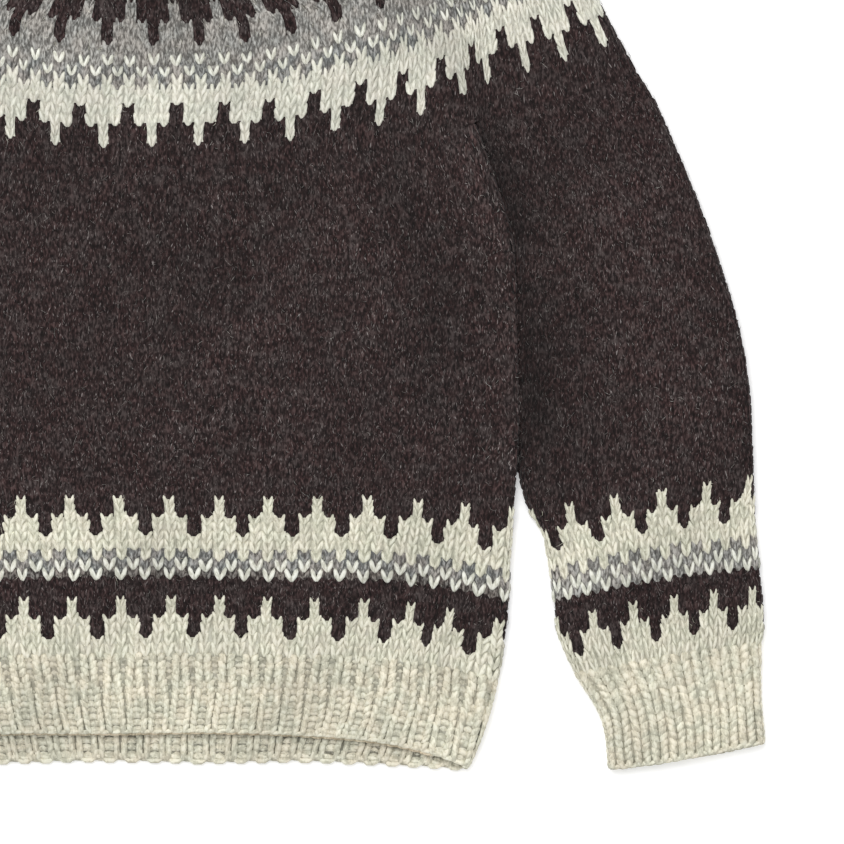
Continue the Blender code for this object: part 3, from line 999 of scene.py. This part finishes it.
NECK_STITCHES = 84
NECK_ROWS = 6
NECK_OPENINGS = [Opening(0, 0.40, 1.1), Opening(3, 0.46, 1.1), Opening(6, 0.56, 1.0)]
neckband = Tube([
    YOKE_TABLE[-1]._replace(row=0),
    Round(3, 0.5575, 0.585, 0.0935, 0.596, 2.0, 0.0088),
    Round(6, 0.57, 0.598, 0.0905, 0.608, 2.0, 0.0086),
])
neck_cloth = knit_cloth("neckband_cloth", neckband, NECK_ROWS, NECK_STITCHES, rib_only)
neck_stitches = joined("neckband_stitches", [
    *rib_stitches(neckband, NECK_STITCHES, NECK_ROWS - 1, ALL_ROUND, NECK_OPENINGS),
    *rib_stitches(neckband, NECK_STITCHES, NECK_ROWS - 1, BACK, NECK_OPENINGS, knit=0, inside=True),
    edge_stitches(neckband, NECK_STITCHES, ALL_ROUND, NECK_ROWS - 0.7),
    edge_stitches(neckband, NECK_STITCHES, BACK, NECK_ROWS - 0.7, inside=True),
])
hand_over("neckband", neck_cloth, [neck_stitches])


# ---- Stray hairs ----
# Fine pale hairs of the fleece that stand out of the yarn on hem, body, sleeves and lower yoke, lying this
# way and that. Each is a thin sliver with three sides, and all are one mesh. A hair's bits lie along it in
# shares of its reach, and their half widths are in metres.

HAIR = [
    Bit(-1.0, 0.0, 0.0022, 0, 0),
    Bit(-0.35, 0.0, 0.0002, 0.00009, 0.00009),
    Bit(0.35, 0.0, 0.0001, 0.00009, 0.00009),
    Bit(1.0, 0.0, 0.0018, 0, 0),
]


def hairs(tube, count, rows, stitch_width, row_height, chart, around):
    """Hairs strewn over a tube, each at its own angle, length, bend and height."""
    share = dice.uniform(-0.5, 0.5, count)
    row = dice.uniform(0.5, rows - 0.5, count)
    under = np.array([chart(int(r), int(round(s * around))) for r, s in zip(row, share)])
    angle = dice.normal(0, 0.7, count)
    reach = dice.uniform(0.0008, 0.0028, count) * (1 + (dice.random(count) > 0.93))
    curl = dice.normal(0, 0.35, count) * reach
    thick = dice.uniform(0.6, 1.3, count)
    sliver = length_of_yarn(HAIR, 3)
    points = []
    for bit in HAIR:
        for a in np.radians([90, 210, 330] if bit.half_width else [90]):
            points.append((bit.along, bit.depth, bit.half_width * np.cos(a), bit.half_height * np.sin(a)))
    along, depth, beside, above = np.array(points).T
    bend = curl[:, None] * (1 - along ** 2)
    forward = reach[:, None] * along
    sideways = bend + beside * thick[:, None]
    cos, sin = np.cos(angle)[:, None], np.sin(angle)[:, None]
    placed = tube.place(
        share[:, None] + (forward * sin + sideways * cos) / (stitch_width * around),
        row[:, None] + (forward * cos - sideways * sin) / row_height,
        depth * dice.uniform(0.6, 1.2, (count, 1)) - above * thick[:, None],
    ).reshape(-1, 3)
    dark = under == "d"
    yarn_index = np.where(dark, YARN_ORDER.index("l"), YARN_ORDER.index("c"))
    tone = np.where(dark, dice.uniform(0.30, 1.2, count), dice.uniform(0.9, 1.1, count))
    yarns = [np.repeat(yarn_index, len(group)) for group in (sliver.tips, sliver.bands)]
    faces = copied_faces(sliver, count, tube.side)
    return placed, faces, yarns, np.repeat(tone, len(points)), placed * 1000


stray_hairs = joined("stray_hairs", [
    hairs(body, 5200, BODY_ROWS, 0.0074, 0.0055, lower_chart, BODY_STITCHES),
    *[hairs(Tube(SLEEVE_TABLE, side), 1700, SLEEVE_ROWS, 0.0062, 0.0058, sleeve_chart, SLEEVE_STITCHES)
      for side in (1, -1)],
    hairs(yoke, 2800, 18, 0.0062, 0.0060, yoke_chart, YOKE_STITCHES),
    hairs(hem, 500, HEM_ROWS, 0.0070, 0.0039, rib_only, BODY_STITCHES),
])
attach(stray_hairs, "root")


# ---- The floor, the lights and the camera ----
# A plain pale floor, soft light from all round with a large lamp high up beyond the neck, and a camera that
# looks straight down on the wearer's lower left part of the pullover.

bpy.ops.object.select_all(action="DESELECT")
bpy.ops.mesh.primitive_plane_add(size=60, location=(0, 0, -0.0006))
floor = bpy.context.object
floor.name = "floor"
floor_paint, _ = new_material("pale_floor", {
    "Base Color": (0.93, 0.93, 0.93, 1), "Roughness": 0.9,
    "Emission Color": (1, 1, 1, 1), "Emission Strength": 0.25})
floor.data.materials.append(floor_paint)

world = bpy.data.worlds.new("studio")
world.use_nodes = True
sky = world.node_tree.nodes["Background"]
sky.inputs["Color"].default_value = (1, 1, 1, 1)
sky.inputs["Strength"].default_value = 0.72
bpy.context.scene.world = world

lamp_data = bpy.data.lights.new("softbox", "AREA")
lamp_data.shape = "RECTANGLE"
lamp_data.size, lamp_data.size_y = 2.0, 2.0
lamp_data.energy = 50
lamp = new_object("softbox", lamp_data)
lamp.location = (-0.5, 1.2, 2.8)
lamp.rotation_euler = (-lamp.location).to_track_quat("-Z", "Y").to_euler()

VIEW_WIDTH = 0.5064      # how much of the surface the camera takes in
VIEW_HEIGHT = 3.0
VIEW_X = 0.1632          # the middle of the view, from the centre line towards the wearer's left
VIEW_Y = 0.2088          # and from the hem towards the neck
camera_data = bpy.data.cameras.new("camera")
camera_data.sensor_width = 36
camera_data.lens = camera_data.sensor_width * VIEW_HEIGHT / VIEW_WIDTH
camera_data.clip_end = 100
camera = new_object("camera", camera_data)
camera.location = (VIEW_X, hem_y + VIEW_Y, VIEW_HEIGHT)
bpy.context.scene.camera = camera
bpy.context.scene.view_settings.view_transform = "Standard"
